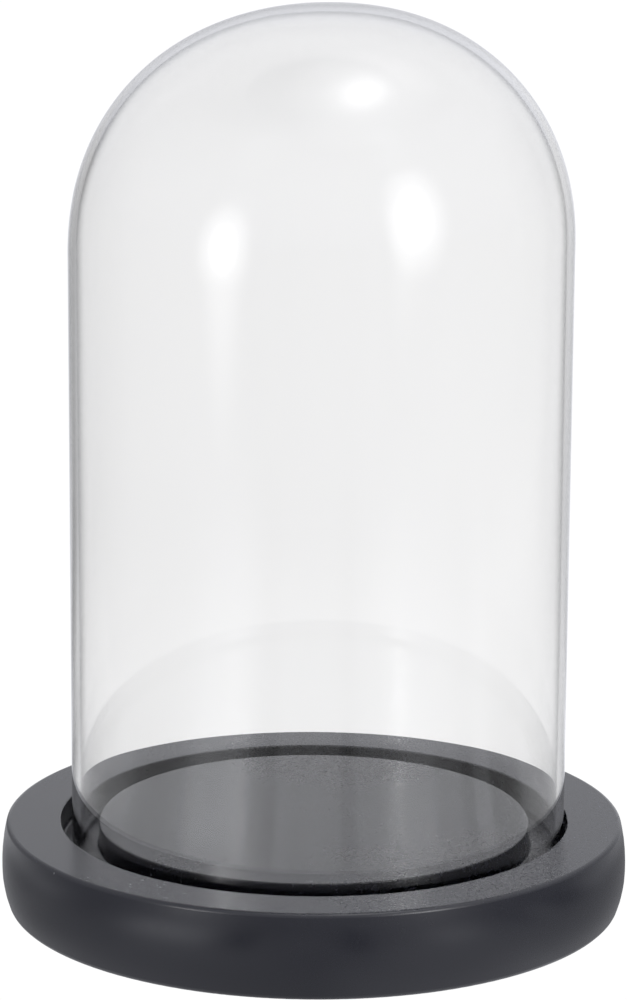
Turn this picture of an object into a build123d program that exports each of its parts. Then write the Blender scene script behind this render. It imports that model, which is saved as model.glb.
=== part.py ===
from build123d import *
import os

# Glass bell jar dome on a round, turned base.
# Millimetres, +Z up. The origin is the centre of the surface it stands on.
# The front of the object faces -Y.

# ---- driving dimensions -------------------------------------------------
# base board: one turned disc with a rounded side and an annular groove
BASE_MAX_R = 75.0          # widest point of the rounded side
BASE_ARRIS_R = 73.7        # where the flat top would meet the side, unrounded
BASE_BELLY_DEPTH = 11.3    # widest point, below the top face
BOARD_T = 20.6             # board thickness
ARRIS_FILLET = 1.1         # soft edge round the flat top
UNDER_FILLET = 1.9         # soft edge round the underside
PAD_T = 1.5                # pads under the board
PAD_R = 6.0
PAD_PITCH_R = 54.0         # distance of each pad's centre from the axis
PAD_EDGE = 0.35

GROOVE_OUT_R = 60.85       # groove that the glass stands in
GROOVE_IN_R = 51.70        # also the edge of the display platform
GROOVE_DEPTH = 6.0
GROOVE_EDGE = 0.35         # broken edges at the groove's mouth
GROOVE_ROOT = 0.8          # rounded corners at the groove's floor

# glass dome: straight wall with a rounded end, open at the bottom
GLASS_OUT_R = 59.1
GLASS_WALL = 1.9
GLASS_STRAIGHT_TOP = 138.0  # end of the straight wall, above the board's top face
GLASS_CAP_H = 56.9          # height of the rounded end
CAP_POWER = 2.145           # 2 would be an ellipse; a little more gives fuller shoulders
RIM_GAP = 0.15              # clearance under the rim, so the two pieces don't share a face
GLASS_SHIFT_X = 0.95        # the loose glass stands a little to one side of its groove

# ---- levels -------------------------------------------------------------
Z_UNDER = PAD_T
Z_TOP = PAD_T + BOARD_T
Z_FLOOR = Z_TOP - GROOVE_DEPTH
Z_RIM = Z_FLOOR + RIM_GAP
Z_SHOULDER = Z_TOP + GLASS_STRAIGHT_TOP
Z_CROWN = Z_SHOULDER + GLASS_CAP_H

# ---- base board ---------------------------------------------------------
# The side's profile as (radius, depth below the top face): a fuller curve than
# a circular arc, nearly upright at the belly and tucked in towards the underside.
SIDE = [
    (BASE_ARRIS_R, 0.0),
    (74.29, 2.62),
    (74.70, 5.24),
    (74.93, 7.86),
    (BASE_MAX_R, BASE_BELLY_DEPTH),
    (74.92, 13.17),
    (74.63, 15.34),
    (74.16, 17.52),
    (73.60, 19.30),
    (73.15, BOARD_T),
]


def rz(r, z):
    """A point of a half section, in the XZ plane."""
    return (r, 0, z)


def revolved(edges, name):
    """Turns a closed half section about the Z axis."""
    face = make_face(Curve() + edges)
    solid = revolve(face, axis=Axis.Z, revolution_arc=360)
    solid = solid.solid()
    solid.label = name
    return solid


side_pts = [rz(r, Z_TOP - d) for r, d in SIDE]
board_edges = [
    Line(rz(0, Z_UNDER), side_pts[-1]),
    Spline(*side_pts[::-1]),
    Line(side_pts[0], rz(GROOVE_OUT_R, Z_TOP)),
    Line(rz(GROOVE_OUT_R, Z_TOP), rz(GROOVE_OUT_R, Z_FLOOR)),
    Line(rz(GROOVE_OUT_R, Z_FLOOR), rz(GROOVE_IN_R, Z_FLOOR)),
    Line(rz(GROOVE_IN_R, Z_FLOOR), rz(GROOVE_IN_R, Z_TOP)),
    Line(rz(GROOVE_IN_R, Z_TOP), rz(0, Z_TOP)),
    Line(rz(0, Z_TOP), rz(0, Z_UNDER)),
]
base_board = revolved(board_edges, "base_board")


def ring_edges(solid, radius, z):
    """The circular edges of a solid at one radius and height."""
    return [
        e
        for e in solid.edges().filter_by(GeomType.CIRCLE)
        if abs(e.radius - radius) < 0.02 and abs(e.arc_center.Z - z) < 0.02
    ]


for radius, z, size in (
    (BASE_ARRIS_R, Z_TOP, ARRIS_FILLET),
    (SIDE[-1][0], Z_UNDER, UNDER_FILLET),
    (GROOVE_OUT_R, Z_TOP, GROOVE_EDGE),
    (GROOVE_IN_R, Z_TOP, GROOVE_EDGE),
    (GROOVE_OUT_R, Z_FLOOR, GROOVE_ROOT),
    (GROOVE_IN_R, Z_FLOOR, GROOVE_ROOT),
):
    found = ring_edges(base_board, radius, z)
    if len(found) != 1:
        raise RuntimeError(f"edge at r={radius}, z={z}: found {len(found)}")
    base_board = fillet(found, size).solid()
base_board.label = "base_board"

# ---- glass dome ---------------------------------------------------------


def cap_points(radius, height, z0, steps=14):
    """A quarter of a superellipse, from the straight wall up to the crown."""
    pts = []
    for i in range(steps + 1):
        a = 90.0 * i / steps
        c, s = Vector(1, 0, 0).rotate(Axis.Z, a).X, Vector(1, 0, 0).rotate(Axis.Z, a).Y
        p = 2.0 / CAP_POWER
        r = radius * max(c, 0.0) ** p
        z = z0 + height * max(s, 0.0) ** p
        pts.append((0.0 if i == steps else r, 0, z))
    return pts


GLASS_IN_R = GLASS_OUT_R - GLASS_WALL
RIM_R = GLASS_WALL / 2
outer = cap_points(GLASS_OUT_R, GLASS_CAP_H, Z_SHOULDER)
inner = cap_points(GLASS_IN_R, GLASS_CAP_H - GLASS_WALL, Z_SHOULDER)
glass_edges = [
    ThreePointArc(
        rz(GLASS_IN_R, Z_RIM + RIM_R),
        rz(GLASS_IN_R + RIM_R, Z_RIM),
        rz(GLASS_OUT_R, Z_RIM + RIM_R),
    ),
    Line(rz(GLASS_OUT_R, Z_RIM + RIM_R), outer[0]),
    Spline(*outer, tangents=[(0, 0, 1), (-1, 0, 0)]),
    Line(outer[-1], inner[-1]),
    Spline(*inner[::-1], tangents=[(1, 0, 0), (0, 0, -1)]),
    Line(inner[0], rz(GLASS_IN_R, Z_RIM + RIM_R)),
]
glass_dome = revolved(glass_edges, "glass_dome")
glass_dome = Pos(GLASS_SHIFT_X, 0, 0) * glass_dome
glass_dome.label = "glass_dome"

# ---- pads under the board ----------------------------------------------


def foot_pad(x, y, name):
    """A round stick-on pad with softened edges at its lower face."""
    pad = Pos(x, y, 0) * Cylinder(
        PAD_R, PAD_T, align=(Align.CENTER, Align.CENTER, Align.MIN)
    )
    low = [e for e in pad.edges().filter_by(GeomType.CIRCLE) if abs(e.center().Z) < 1e-3]
    pad = fillet(low, PAD_EDGE).solid()
    pad.label = name
    return pad


q = PAD_PITCH_R / 2**0.5
nodes = {
    "base_board": base_board,
    "glass_dome": glass_dome,
    "foot_pad_front_left": foot_pad(-q, -q, "foot_pad_front_left"),
    "foot_pad_front_right": foot_pad(q, -q, "foot_pad_front_right"),
    "foot_pad_rear_left": foot_pad(-q, q, "foot_pad_rear_left"),
    "foot_pad_rear_right": foot_pad(q, q, "foot_pad_rear_right"),
}

os.makedirs("parts", exist_ok=True)
for name, shape in nodes.items():
    export_step(shape, f"parts/{name}.step")
    print(name, "volume", round(shape.volume, 1), "valid", shape.is_valid)
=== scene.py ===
import math

import bmesh
import bpy
from mathutils import Matrix, Vector


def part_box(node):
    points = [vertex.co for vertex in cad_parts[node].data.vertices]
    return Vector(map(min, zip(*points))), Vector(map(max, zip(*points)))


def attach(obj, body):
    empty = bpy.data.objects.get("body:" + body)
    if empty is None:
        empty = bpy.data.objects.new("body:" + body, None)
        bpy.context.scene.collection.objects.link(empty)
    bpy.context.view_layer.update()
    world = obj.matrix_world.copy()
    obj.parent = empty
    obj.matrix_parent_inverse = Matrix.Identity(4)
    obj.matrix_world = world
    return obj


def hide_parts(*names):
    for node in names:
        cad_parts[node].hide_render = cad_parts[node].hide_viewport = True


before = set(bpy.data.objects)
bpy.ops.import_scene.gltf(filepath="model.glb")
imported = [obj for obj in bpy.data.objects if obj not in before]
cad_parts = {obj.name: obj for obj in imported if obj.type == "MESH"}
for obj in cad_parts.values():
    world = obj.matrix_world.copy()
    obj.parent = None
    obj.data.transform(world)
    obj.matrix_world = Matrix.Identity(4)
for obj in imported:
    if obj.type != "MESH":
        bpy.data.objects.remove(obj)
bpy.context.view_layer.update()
SCENE = bpy.context.scene

# ---------------------------------------------------------------- sizes, in metres, from the frame
g_low, g_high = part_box("glass_dome")
b_low, b_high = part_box("base_board")
p_low, p_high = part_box("foot_pad_front_left")
Z_TOP = b_high.z                      # the board's flat top face
AXIS_X = (g_low.x + g_high.x) / 2     # the loose glass stands a little off the board's axis
GLASS_R = 0.0591
WALL = 0.0019
Z_RIM = g_low.z
Z_SHOULDER = Z_TOP + 0.138
CAP_H = g_high.z - Z_SHOULDER
POWER = 2.145


# ---------------------------------------------------------------- mesh helpers
def new_object(name, mesh):
    ob = bpy.data.objects.new(name, mesh)
    SCENE.collection.objects.link(ob)
    return ob


def turned(name, profile, segments, centre=(0.0, 0.0), bend=None, lean=None):
    """A solid of revolution from a closed half section given as (radius, height) points.
    Points with no radius become one vertex on the axis. bend moves each point a little
    outwards, and lean moves each level sideways."""
    bm = bmesh.new()
    rings = []
    for r, z in profile:
        cx = centre[0] + (lean(z) if lean else 0.0)
        if r < 1e-7:
            rings.append([bm.verts.new((cx, centre[1], z))])
            continue
        ring = []
        for i in range(segments):
            a = 2 * math.pi * i / segments
            rr = r + (bend(a, r, z) if bend else 0.0)
            ring.append(
                bm.verts.new((cx + rr * math.cos(a), centre[1] + rr * math.sin(a), z))
            )
        rings.append(ring)
    n = len(rings)
    for k in range(n):
        lo, hi = rings[k], rings[(k + 1) % n]
        if len(lo) == 1 and len(hi) == 1:
            continue
        for i in range(segments):
            j = (i + 1) % segments
            if len(lo) == 1:
                bm.faces.new((lo[0], hi[j], hi[i]))
            elif len(hi) == 1:
                bm.faces.new((lo[i], lo[j], hi[0]))
            else:
                bm.faces.new((lo[i], lo[j], hi[j], hi[i]))
    bmesh.ops.recalc_face_normals(bm, faces=bm.faces)
    mesh = bpy.data.meshes.new(name)
    bm.to_mesh(mesh)
    bm.free()
    mesh.shade_smooth()
    return new_object(name, mesh)


def cap_curve(radius, height, z0, steps):
    """A quarter superellipse from the straight wall to the crown, evenly spread by angle."""
    pts = []
    for i in range(steps + 1):
        a = math.pi / 2 * i / steps
        # the direction's angle, turned into the superellipse's point along it
        c, s = math.cos(a), math.sin(a)
        k = (abs(c) ** POWER + abs(s) ** POWER) ** (-1 / POWER)
        pts.append((0.0 if i == steps else radius * c * k, z0 + height * s * k))
    return pts


def arc(cr, cz, radius, a0, a1, steps):
    return [
        (cr + radius * math.cos(a0 + (a1 - a0) * i / steps), cz + radius * math.sin(a0 + (a1 - a0) * i / steps))
        for i in range(steps + 1)
    ]


# ---------------------------------------------------------------- the glass bell
RIM_R = WALL / 2
outer_cap = cap_curve(GLASS_R, CAP_H, Z_SHOULDER, 72)
inner_cap = cap_curve(GLASS_R - WALL, CAP_H - WALL, Z_SHOULDER, 72)
section = []
section += arc(GLASS_R - RIM_R, Z_RIM + RIM_R, RIM_R, math.pi, 2 * math.pi, 14)      # fire-rounded rim
rows = 46
section += [(GLASS_R, Z_RIM + RIM_R + (Z_SHOULDER - Z_RIM - RIM_R) * i / rows) for i in range(1, rows)]
section += outer_cap
section += inner_cap[::-1]
section += [(GLASS_R - WALL, Z_SHOULDER + (Z_RIM + RIM_R - Z_SHOULDER) * i / rows) for i in range(1, rows)]


def waver(a, r, z):
    """Blown glass is never quite true: a few hundredths of a millimetre, more on the inner face."""
    up = min(max((z - Z_RIM) / 0.02, 0.0), 1.0)
    inner = 1.0 if r < GLASS_R - WALL * 0.5 else 0.35
    s = (
        math.sin(2 * a + 0.7)
        + 0.6 * math.sin(3 * a + 2.1 + 9.0 * z)
        + 0.35 * math.sin(7 * a + 1.3 - 14.0 * z)
        + 0.2 * math.sin(13 * a + 4.0 + 6.0 * z)
    )
    near_crown = min(r / 0.02, 1.0) ** 2
    return 0.00004 * s * inner * up * near_crown


def lean(z):
    """The blown crown is a little off the axis of the straight wall, to the right."""
    f = max((z - Z_SHOULDER) / CAP_H, 0.0)
    return 0.0012 * f + 0.0007 * f**6


bell = turned("glass_bell", section, 384, centre=(AXIS_X, 0.0), bend=waver, lean=lean)


# ---------------------------------------------------------------- node helpers
def material(name):
    mat = bpy.data.materials.new(name)
    mat.use_nodes = True
    nt = mat.node_tree
    nt.nodes.clear()
    out = nt.nodes.new("ShaderNodeOutputMaterial")
    p = nt.nodes.new("ShaderNodeBsdfPrincipled")
    nt.links.new(p.outputs["BSDF"], out.inputs["Surface"])
    return mat, nt, p, out


def noise(nt, vec, scale, detail=3.0, rough=0.5, dims="3D"):
    n = nt.nodes.new("ShaderNodeTexNoise")
    n.noise_dimensions = dims
    n.inputs["Scale"].default_value = scale
    n.inputs["Detail"].default_value = detail
    n.inputs["Roughness"].default_value = rough
    nt.links.new(vec, n.inputs["Vector"])
    return n.outputs["Fac"]


def remap(nt, value, a, b, c, d, smooth=False):
    n = nt.nodes.new("ShaderNodeMapRange")
    n.interpolation_type = "SMOOTHSTEP" if smooth else "LINEAR"
    n.inputs["From Min"].default_value = a
    n.inputs["From Max"].default_value = b
    n.inputs["To Min"].default_value = c
    n.inputs["To Max"].default_value = d
    nt.links.new(value, n.inputs["Value"])
    return n.outputs["Result"]


def math_node(nt, op, a, b=None):
    n = nt.nodes.new("ShaderNodeMath")
    n.operation = op
    for i, v in enumerate((a, b)):
        if v is None:
            continue
        if isinstance(v, (int, float)):
            n.inputs[i].default_value = v
        else:
            nt.links.new(v, n.inputs[i])
    return n.outputs["Value"]


def mix_colour(nt, fac, a, b):
    n = nt.nodes.new("ShaderNodeMix")
    n.data_type = "RGBA"
    nt.links.new(fac, n.inputs[0])
    for sock, v in ((n.inputs[6], a), (n.inputs[7], b)):
        if isinstance(v, tuple):
            sock.default_value = (*v, 1.0)
        else:
            nt.links.new(v, sock)
    return n.outputs[2]


def bump(nt, height, strength, distance, normal=None):
    n = nt.nodes.new("ShaderNodeBump")
    n.inputs["Strength"].default_value = strength
    n.inputs["Distance"].default_value = distance
    nt.links.new(height, n.inputs["Height"])
    if normal is not None:
        nt.links.new(normal, n.inputs["Normal"])
    return n.outputs["Normal"]


# ---------------------------------------------------------------- clear glass
def clear_glass():
    mat, nt, p, out = material("clear_glass")
    co = nt.nodes.new("ShaderNodeTexCoord").outputs["Object"]
    # painted shade: where the view runs along the wall, the glass colour is mixed to dark grey, standing in for the
    # dark edges the glass gets from bending the view away to the dim sides
    painted_edge_shade = nt.nodes.new("ShaderNodeLayerWeight")
    painted_edge_shade.inputs["Blend"].default_value = 0.5
    painted_edge_shade = remap(nt, painted_edge_shade.outputs["Facing"], 0.76, 0.94, 0.0, 1.0, True)
    # painted shade: clear white in the middle of the glass, dark grey along its grazing edges
    nt.links.new(mix_colour(nt, painted_edge_shade, (1.0, 1.0, 1.0), (0.04, 0.04, 0.04)), p.inputs["Base Color"])
    p.inputs["Transmission Weight"].default_value = 1.0
    p.inputs["IOR"].default_value = 1.48
    # the glass itself is very slightly grey, which shows where the view runs along the wall
    vol = nt.nodes.new("ShaderNodeVolumeAbsorption")
    vol.inputs["Color"].default_value = (0.0, 0.0, 0.0, 1.0)
    vol.inputs["Density"].default_value = 20.0
    nt.links.new(vol.outputs[0], out.inputs["Volume"])
    # faint handling haze in soft patches: nearly all of the glass is perfectly clear
    haze = noise(nt, co, 28.0, 4.0, 0.55)
    nt.links.new(remap(nt, haze, 0.55, 0.8, 0.0, 0.03, True), p.inputs["Roughness"])
    # the slow ripple that blowing leaves in the wall
    ripple = noise(nt, co, 9.0, 2.0, 0.4)
    nt.links.new(bump(nt, ripple, 0.25, 0.0006), p.inputs["Normal"])
    return mat


# ---------------------------------------------------------------- satin black lacquer
def black_lacquer():
    mat, nt, p, out = material("black_lacquer")
    co = nt.nodes.new("ShaderNodeTexCoord").outputs["Object"]
    cloud = noise(nt, co, 22.0, 3.0, 0.5)
    fine = noise(nt, co, 900.0, 2.0, 0.6)
    peel = noise(nt, co, 160.0, 1.0, 0.5)
    dust = nt.nodes.new("ShaderNodeTexVoronoi")
    dust.inputs["Scale"].default_value = 150.0
    nt.links.new(co, dust.inputs["Vector"])
    # sparse lint and dust specks in the paint
    speck = remap(nt, dust.outputs["Distance"], 0.055, 0.03, 0.0, 1.0, True)
    rare = remap(nt, noise(nt, co, 75.0, 1.0, 0.5), 0.60, 0.66, 0.0, 1.0, True)
    speck = math_node(nt, "MULTIPLY", speck, rare)
    base = mix_colour(nt, remap(nt, cloud, 0.3, 0.7, 0.0, 1.0), (0.0086, 0.0091, 0.0144), (0.0113, 0.0119, 0.0180))
    base = mix_colour(nt, speck, base, (0.10, 0.10, 0.105))
    nt.links.new(base, p.inputs["Base Color"])
    p.inputs["IOR"].default_value = 1.5
    rough = remap(nt, cloud, 0.3, 0.7, 0.24, 0.27)
    rough = math_node(nt, "ADD", rough, remap(nt, fine, 0.3, 0.7, -0.02, 0.02))
    nt.links.new(rough, p.inputs["Roughness"])
    nt.links.new(bump(nt, peel, 0.05, 0.00006), p.inputs["Normal"])
    return mat


# ---------------------------------------------------------------- pad rubber
def pad_rubber():
    mat, nt, p, out = material("pad_rubber")
    co = nt.nodes.new("ShaderNodeTexCoord").outputs["Object"]
    grain = noise(nt, co, 1400.0, 3.0, 0.6)
    cloud = noise(nt, co, 120.0, 2.0, 0.5)
    nt.links.new(mix_colour(nt, cloud, (0.018, 0.018, 0.019), (0.032, 0.032, 0.033)), p.inputs["Base Color"])
    nt.links.new(remap(nt, grain, 0.3, 0.7, 0.62, 0.82), p.inputs["Roughness"])
    nt.links.new(bump(nt, grain, 0.35, 0.00008), p.inputs["Normal"])
    return mat


glass = clear_glass()
lacquer = black_lacquer()
rubber = pad_rubber()

bell.data.materials.append(glass)
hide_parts("glass_dome")
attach(bell, "dome")

for name in ("base_board", "foot_pad_front_left", "foot_pad_front_right", "foot_pad_rear_left", "foot_pad_rear_right"):
    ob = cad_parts[name]
    ob.data.materials.clear()
    ob.data.materials.append(lacquer if name == "base_board" else rubber)
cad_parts["glass_dome"].data.materials.clear()
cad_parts["glass_dome"].data.materials.append(glass)

# ---------------------------------------------------------------- studio
def direction(az, el):
    """A unit vector: az in degrees from the front (-Y) towards +X, el in degrees up."""
    a, e = math.radians(az), math.radians(el)
    return Vector((math.sin(a) * math.cos(e), -math.cos(a) * math.cos(e), math.sin(e)))


def split_xyz(nt, vec):
    n = nt.nodes.new("ShaderNodeSeparateXYZ")
    nt.links.new(vec, n.inputs[0])
    return n.outputs


def azimuth(nt, x, y):
    """The horizontal direction as -180 to 180 degrees: 0 straight behind, + to the right."""
    return math_node(nt, "MULTIPLY", math_node(nt, "ARCTAN2", x, y), 180.0 / math.pi)


def radius(nt, x, y):
    return math_node(nt, "SQRT", math_node(nt, "ADD", math_node(nt, "MULTIPLY", x, x), math_node(nt, "MULTIPLY", y, y)))


def around(nt, az, cards):
    """How bright the studio is round about, from (azimuth in degrees, brightness) pairs."""
    n = nt.nodes.new("ShaderNodeFloatCurve")
    curve = n.mapping.curves[0]
    curve.points[0].location = (0.0, cards[0][1] / 2)
    curve.points[1].location = (1.0, cards[-1][1] / 2)
    for deg, value in cards[1:-1]:
        curve.points.new((deg + 180.0) / 360.0, value / 2)
    for p in curve.points:
        p.handle_type = "AUTO_CLAMPED"
    n.mapping.update()
    nt.links.new(remap(nt, az, -180.0, 180.0, 0.0, 1.0), n.inputs["Value"])
    return math_node(nt, "MULTIPLY", n.outputs["Value"], 2.0)


def blend(nt, where, steps):
    """Goes smoothly from one brightness to the next as where passes each step's value."""
    value = steps[0][1]
    for (at0, a), (at1, b) in zip(steps, steps[1:]):
        t = remap(nt, where, at0, at1, 0.0, 1.0, True)
        value = math_node(nt, "ADD", math_node(nt, "MULTIPLY", value, math_node(nt, "SUBTRACT", 1.0, t)), math_node(nt, "MULTIPLY", b, t))
    return value


def seen_by(ob, camera=False, through=False, mirrored=False):
    """Which rays meet a studio piece: straight ones, ones that come out of glass, or reflected
    and scattered ones. None of these pieces casts a shadow."""
    ob.visible_camera = camera
    ob.visible_transmission = through
    ob.visible_glossy = mirrored
    ob.visible_diffuse = mirrored
    ob.visible_volume_scatter = mirrored
    ob.visible_shadow = False


def plain(name):
    mat = bpy.data.materials.new(name)
    mat.use_nodes = True
    nt = mat.node_tree
    nt.nodes.clear()
    em = nt.nodes.new("ShaderNodeEmission")
    out = nt.nodes.new("ShaderNodeOutputMaterial")
    nt.links.new(em.outputs[0], out.inputs["Surface"])
    mat.cycles.emission_sampling = "NONE"
    return mat, nt, em


def studio_shell(name, size, z):
    """A round floor that sweeps up into a closed dome, seen from inside."""
    bm = bmesh.new()
    rings = []
    profile = [(size * t, z) for t in (0.002, 0.01, 0.04, 0.15, 0.5, 1.0)]
    profile += [(size * math.cos(math.radians(e)), z + size * math.sin(math.radians(e))) for e in range(6, 90, 6)]
    n = 96
    for r, h in profile:
        rings.append([bm.verts.new((r * math.cos(2 * math.pi * i / n), r * math.sin(2 * math.pi * i / n), h)) for i in range(n)])
    for lo, hi in zip(rings, rings[1:]):
        for i in range(n):
            j = (i + 1) % n
            bm.faces.new((lo[i], lo[j], hi[j], hi[i]))
    bm.faces.new(rings[0][::-1])
    bm.faces.new(rings[-1])
    me = bpy.data.meshes.new(name)
    bm.to_mesh(me)
    bm.free()
    ob = new_object(name, me)
    return ob


# What the camera sees directly is plain white paper. Grey and white cards, which it doesn't
# see, stand round the object and light it: they give the lacquer its sheen and the glass its dark edges, as in any
# studio;
# the glass colour also has painted shade towards its edges. Every list below goes once round, 0 straight behind.
paper = studio_shell("studio_floor", 13.0, 0.0)
pmat, pnt, pem = plain("studio_floor")
pco = pnt.nodes.new("ShaderNodeTexCoord").outputs["Object"]
px, py, pz = split_xyz(pnt, pco)
tone = noise(pnt, pco, 3.0, 2.0, 0.5)
pnt.links.new(remap(pnt, tone, 0.3, 0.7, 1.01, 1.03), pem.inputs["Strength"])
pem.inputs["Color"].default_value = (1.0, 1.0, 1.0, 1.0)
paper.data.materials.append(pmat)
seen_by(paper, camera=True)

# what shows through the glass: white all round, with a grey stand between one side and the next
THROUGH = [
    (-180, 0.90), (-158, 0.90), (-145, 0.78), (-125, 0.78), (-112, 0.90), (-75, 0.90), (-60, 0.80), (-46, 0.72),
    (-36, 0.62), (-30, 0.58), (-25, 0.72), (-21, 0.82), (-17, 0.89), (-12, 0.94), (0, 0.96), (9, 1.01), (15, 1.07), (19, 1.01),
    (23, 0.90), (31, 0.80), (38, 0.72), (46, 0.74), (60, 0.80), (75, 0.90), (112, 0.90), (125, 0.78), (145, 0.78),
    (158, 0.90), (180, 0.90),
]
THROUGH_NEAR = [
    (-180, 0.74), (-160, 0.74), (-150, 0.88), (-138, 1.05), (-126, 0.88), (-105, 0.74), (-75, 0.74), (-50, 0.76),
    (-38, 0.84), (-28, 0.97), (-15, 1.01), (0, 1.02), (15, 1.06), (32, 1.08), (42, 0.88), (60, 0.76), (90, 0.72),
    (110, 0.72), (125, 0.78), (138, 0.90), (150, 0.80), (165, 0.74), (180, 0.74),
]
THROUGH_FOOT = [
    (-180, 0.22), (-110, 0.20), (-75, 0.26), (-48, 0.90), (-30, 1.00), (0, 1.02), (35, 1.04), (50, 0.90), (80, 0.34),
    (110, 0.22), (180, 0.22),
]
view = studio_shell("studio_view", 12.6, -0.0001)
vmat, vnt, vem = plain("studio_view")
vx, vy, vz = split_xyz(vnt, vnt.nodes.new("ShaderNodeTexCoord").outputs["Object"])
vaz = azimuth(vnt, vx, vy)
far_view = around(vnt, vaz, THROUGH)
near_view = around(vnt, vaz, THROUGH_NEAR)
foot_view = around(vnt, vaz, THROUGH_FOOT)
low_view = blend(vnt, radius(vnt, vx, vy), [(0.085, foot_view), (0.17, near_view), (0.45, far_view)])
vnt.links.new(blend(vnt, vz, [(0.8, low_view), (3.5, 0.87)]), vem.inputs["Strength"])
# the light from higher up is a little cooler, as daylight is
cool = remap(vnt, vz, 0.3, 1.5, 0.0, 1.0, True)
vnt.links.new(mix_colour(vnt, cool, (0.998, 0.997, 1.0), (0.945, 0.955, 1.0)), vem.inputs["Color"])
view.data.materials.append(vmat)
seen_by(view, through=True)

# the cards on the floor, from the board's foot outwards
FOOT = [
    (-180, 0.60), (-150, 0.72), (-130, 0.62), (-95, 0.38), (-70, 0.46), (-45, 0.66), (-20, 0.84), (0, 0.86),
    (20, 0.82), (40, 0.66), (60, 0.42), (75, 0.32), (100, 0.40), (122, 0.62), (140, 0.85), (158, 0.85), (180, 0.60),
]
BY = [
    (-180, 0.52), (-160, 0.75), (-145, 0.82), (-128, 0.62), (-100, 0.47), (-82, 0.32), (-60, 0.50), (-40, 0.75),
    (-20, 0.88), (0, 0.95), (15, 0.95), (35, 0.80), (50, 0.50), (64, 0.28), (85, 0.33), (110, 0.50), (130, 0.74),
    (150, 0.88), (168, 0.66), (180, 0.52),
]
NEAR = [
    (-180, 0.62), (-172, 0.58), (-166, 0.70), (-162, 0.15), (-158, 0.36), (-155, 0.50), (-150, 1.50), (-144, 1.90),
    (-136, 1.98), (-128, 1.40), (-120, 0.62), (-109, 0.40), (-99, 0.60), (-92, 0.76), (-81, 0.62), (-60, 0.77),
    (-51, 0.57), (-45, 0.34), (-40, 0.43), (-34, 0.80), (-27, 1.03), (0, 1.00), (15, 1.08), (24, 1.18), (33, 1.22),
    (37, 1.00), (45, 0.70), (57, 0.74), (76, 0.60), (84, 0.70), (90, 0.34), (103, 0.10), (108, 0.76), (113, 0.80),
    (117, 0.20), (122, 0.56), (129, 0.66), (134, 1.15), (141, 1.50), (149, 0.90), (157, 0.68), (164, 0.56), (168, 0.0),
    (172, 0.46), (180, 0.62),
]
MID = [
    (-180, 0.56), (-172, 0.52), (-166, 0.58), (-162, 0.26), (-156, 0.50), (-150, 0.95), (-141, 1.25), (-130, 0.92),
    (-120, 0.48), (-110, 0.38), (-93, 0.47), (-75, 0.45), (-57, 0.48), (-50, 0.42), (-45, 0.58), (-40, 0.48),
    (-35, 0.22), (-31, 0.32), (-27, 0.75), (-23, 0.93), (0, 0.98), (12, 1.05), (18, 1.13), (24, 1.05), (30, 0.76),
    (38, 0.64), (46, 0.56), (60, 0.56), (80, 0.45), (100, 0.26), (109, 0.48), (116, 0.24), (124, 0.52), (135, 0.84),
    (142, 0.90), (150, 0.74), (158, 0.58), (164, 0.50), (168, 0.12), (172, 0.46), (180, 0.56),
]
FAR = [
    (-180, 0.47), (-166, 0.42), (-150, 0.64), (-141, 0.77), (-128, 0.72), (-112, 0.50), (-93, 0.43), (-75, 0.42),
    (-60, 0.58), (-48, 0.50), (-40, 0.56), (-36, 0.45), (-31, 0.28), (-26, 0.40), (-22, 0.52), (-18, 0.78),
    (-13, 0.96), (0, 0.99), (9, 1.05), (15, 1.13), (19, 1.01), (23, 0.80), (31, 0.70), (38, 0.54), (46, 0.62),
    (60, 0.64), (75, 0.50), (95, 0.38), (110, 0.42), (125, 0.62), (141, 0.74), (155, 0.65), (167, 0.46), (180, 0.47),
]
card = studio_shell("studio_card", 12.0, -0.0002)
cmat, cnt, cem = plain("studio_card")
cx_, cy_, cz_ = split_xyz(cnt, cnt.nodes.new("ShaderNodeTexCoord").outputs["Object"])
caz = azimuth(cnt, cx_, cy_)
crad = math_node(cnt, "LOGARITHM", radius(cnt, cx_, cy_), 10.0)
lists = [(math.log10(r), around(cnt, caz, c)) for r, c in ((0.078, FOOT), (0.11, BY), (0.165, NEAR), (0.33, MID), (0.85, FAR))]
low_cards = blend(cnt, crad, lists)
# and above the floor, by height
LOW = [
    (-180, 0.67), (-156, 0.66), (-139, 1.25), (-124, 0.64), (-90, 0.58), (-60, 0.57), (-40, 0.52), (-25, 0.50),
    (-20, 0.62), (-15, 0.80), (0, 0.90), (12, 0.96), (18, 0.92), (25, 0.77), (35, 0.65), (60, 0.59), (90, 0.60),
    (122, 0.68), (139, 1.30), (154, 0.76), (180, 0.67),
]
WALL = [
    (-180, 0.80), (-156, 0.78), (-139, 1.30), (-124, 0.74), (-75, 0.68), (-45, 0.58), (-30, 0.63), (-15, 0.77),
    (0, 0.89), (15, 0.86), (30, 0.72), (60, 0.69), (90, 0.76), (122, 0.84), (139, 1.15), (154, 0.88), (180, 0.80),
]
UPPER = [
    (-180, 0.87), (-158, 0.86), (-139, 0.98), (-120, 0.82), (-75, 0.74), (-45, 0.64), (-25, 0.75), (0, 0.84), (30, 0.85), (50, 0.93),
    (75, 1.00), (105, 1.00), (122, 1.00), (139, 1.06), (156, 0.94), (180, 0.87),
]
HIGH = [
    (-180, 1.00), (-120, 0.95), (-75, 0.80), (-45, 0.71), (-20, 0.86), (0, 0.92), (30, 0.99), (55, 1.12),
    (85, 1.22), (110, 1.20), (150, 1.05), (180, 1.00),
]
OVERHEAD = [(-180, 1.20), (-100, 1.05), (-50, 0.89), (0, 1.06), (60, 1.25), (105, 1.41), (150, 1.30), (180, 1.20)]
sin_el = math_node(cnt, "DIVIDE", cz_, 12.0)
heights = [(math.sin(math.radians(e)), around(cnt, caz, c)) for e, c in ((11, LOW), (21, WALL), (34, UPPER), (50, HIGH), (72, OVERHEAD))]
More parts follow.
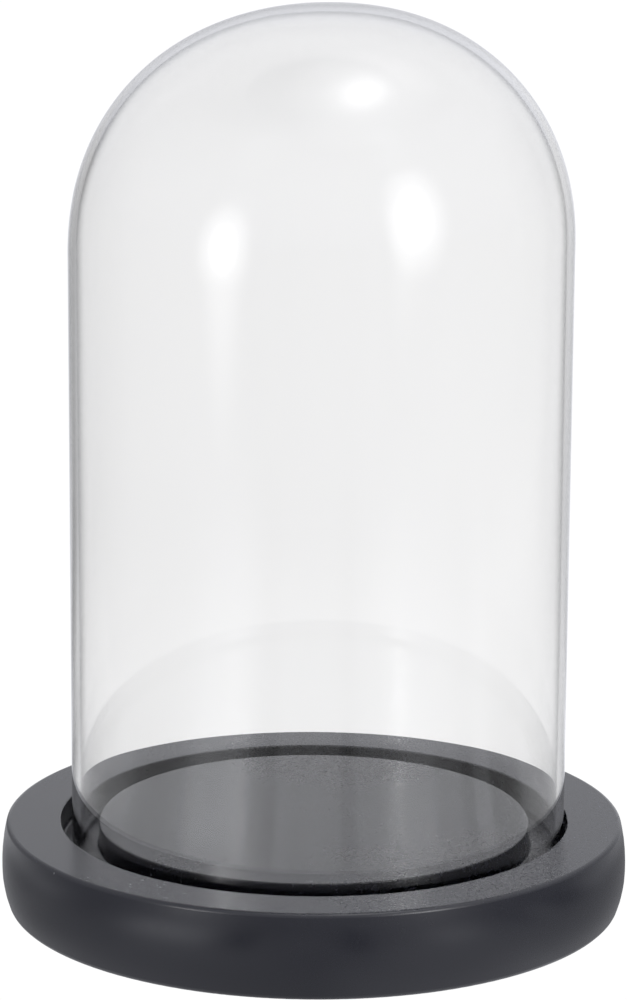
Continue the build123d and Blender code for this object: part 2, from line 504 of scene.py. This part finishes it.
cards = blend(cnt, sin_el, [(math.sin(math.radians(4)), low_cards)] + heights)
cnt.links.new(cards, cem.inputs["Strength"])
cem.inputs["Color"].default_value = (0.94, 0.95, 1.0, 1.0)
card.data.materials.append(cmat)
seen_by(card, mirrored=True)

world = bpy.data.worlds.new("studio")
SCENE.world = world
world.use_nodes = True
world.node_tree.nodes["Background"].inputs["Strength"].default_value = 0.0


def soft_box(name, centre, aim, wide, tall, power, upper=5.5):
    """A studio light seen only in reflections and by what it lights: a glowing cloth that adds
    light and hides nothing. Its glow is brightest in the middle and fades slowly outwards."""
    me = bpy.data.meshes.new(name)
    w, h = wide * 5.5, tall * 5.5
    me.from_pydata([(-w, -h, 0), (w, -h, 0), (w, h, 0), (-w, h, 0)], [], [(0, 1, 2, 3)])
    ob = new_object(name, me)
    z = (Vector(aim) - Vector(centre)).normalized()
    side = Vector((0, 0, 1)).cross(z)
    side = side.normalized() if side.length > 1e-4 else Vector((1, 0, 0))
    lift = z.cross(side)
    mw = Matrix((side, lift, z)).transposed().to_4x4()
    mw.translation = centre
    ob.matrix_world = mw
    mat = bpy.data.materials.new(name)
    mat.use_nodes = True
    nt = mat.node_tree
    nt.nodes.clear()
    co = nt.nodes.new("ShaderNodeTexCoord").outputs["Object"]
    x, y, zz = split_xyz(nt, co)
    qx = math_node(nt, "DIVIDE", x, wide)
    qy = math_node(nt, "DIVIDE", y, tall)
    q2 = math_node(nt, "ADD", math_node(nt, "MULTIPLY", qx, qx), math_node(nt, "MULTIPLY", qy, qy))
    glow = math_node(nt, "DIVIDE", 1.0, math_node(nt, "ADD", q2, 1.0))
    glow = math_node(nt, "MULTIPLY", glow, remap(nt, math_node(nt, "SQRT", q2), 3.4, 5.5, 1.0, 0.0, True))
    glow = math_node(nt, "MULTIPLY", glow, remap(nt, qy, upper - 1.2, upper, 1.0, 0.0, True))
    back = nt.nodes.new("ShaderNodeNewGeometry").outputs["Backfacing"]
    glow = math_node(nt, "MULTIPLY", glow, math_node(nt, "SUBTRACT", 1.0, back))
    em = nt.nodes.new("ShaderNodeEmission")
    nt.links.new(math_node(nt, "MULTIPLY", glow, power), em.inputs["Strength"])
    tr = nt.nodes.new("ShaderNodeBsdfTransparent")
    add = nt.nodes.new("ShaderNodeAddShader")
    nt.links.new(em.outputs[0], add.inputs[0])
    nt.links.new(tr.outputs[0], add.inputs[1])
    out = nt.nodes.new("ShaderNodeOutputMaterial")
    nt.links.new(add.outputs[0], out.inputs["Surface"])
    me.materials.append(mat)
    ob.visible_camera = False
    ob.visible_shadow = False
    return ob


def place(az, el, distance, height):
    d = direction(az, el)
    return Vector((d.x * distance, d.y * distance, d.z * distance + height))


soft_box("key_right", place(41.9, 15.6, 0.6, 0.165), (0, 0, 0.165), 0.036, 0.058, 12.5, 4.6)
soft_box("key_left", place(-42.6, 4.0, 0.5, 0.165), (0, 0, 0.165), 0.024, 0.036, 13.0)
soft_box("top_light", place(72.0, 77.0, 0.9, 0.20), (0, 0, 0.20), 0.130, 0.090, 4.2)

SCENE.view_settings.view_transform = "Standard"
SCENE.view_settings.look = "None"
SCENE.render.film_transparent = False

# ---------------------------------------------------------------- camera
U = 0.0732
CAM_D, CAM_EL, CAM_PITCH, CAM_ROLL = 12.932 * U, math.radians(17.42), math.radians(12.82), math.radians(0.348)
CX, CY, FOCAL_PX = 315.9, 500.0, 3916.0
pos = Vector((0.0, -CAM_D * math.cos(CAM_EL), Z_TOP + CAM_D * math.sin(CAM_EL)))
ahead = Vector((0.0, math.cos(CAM_PITCH), -math.sin(CAM_PITCH)))
right = Vector((1.0, 0.0, 0.0))
up = right.cross(ahead)
r2 = math.cos(CAM_ROLL) * right + math.sin(CAM_ROLL) * up
u2 = -math.sin(CAM_ROLL) * right + math.cos(CAM_ROLL) * up
cam_data = bpy.data.cameras.new("camera")
cam_data.sensor_fit = "VERTICAL"
cam_data.sensor_height = 36.0
cam_data.sensor_width = 36.0
cam_data.lens = FOCAL_PX * 36.0 / 1000.0
cam_data.shift_x = (313.5 - CX) / 1000.0
cam_data.shift_y = (CY - 500.0) / 1000.0
cam_data.clip_start = 0.01
cam_data.clip_end = 60.0
cam = bpy.data.objects.new("camera", cam_data)
SCENE.collection.objects.link(cam)
m = Matrix((r2, u2, -ahead)).transposed().to_4x4()
m.translation = pos
cam.matrix_world = m
SCENE.camera = cam

bpy.context.view_layer.update()
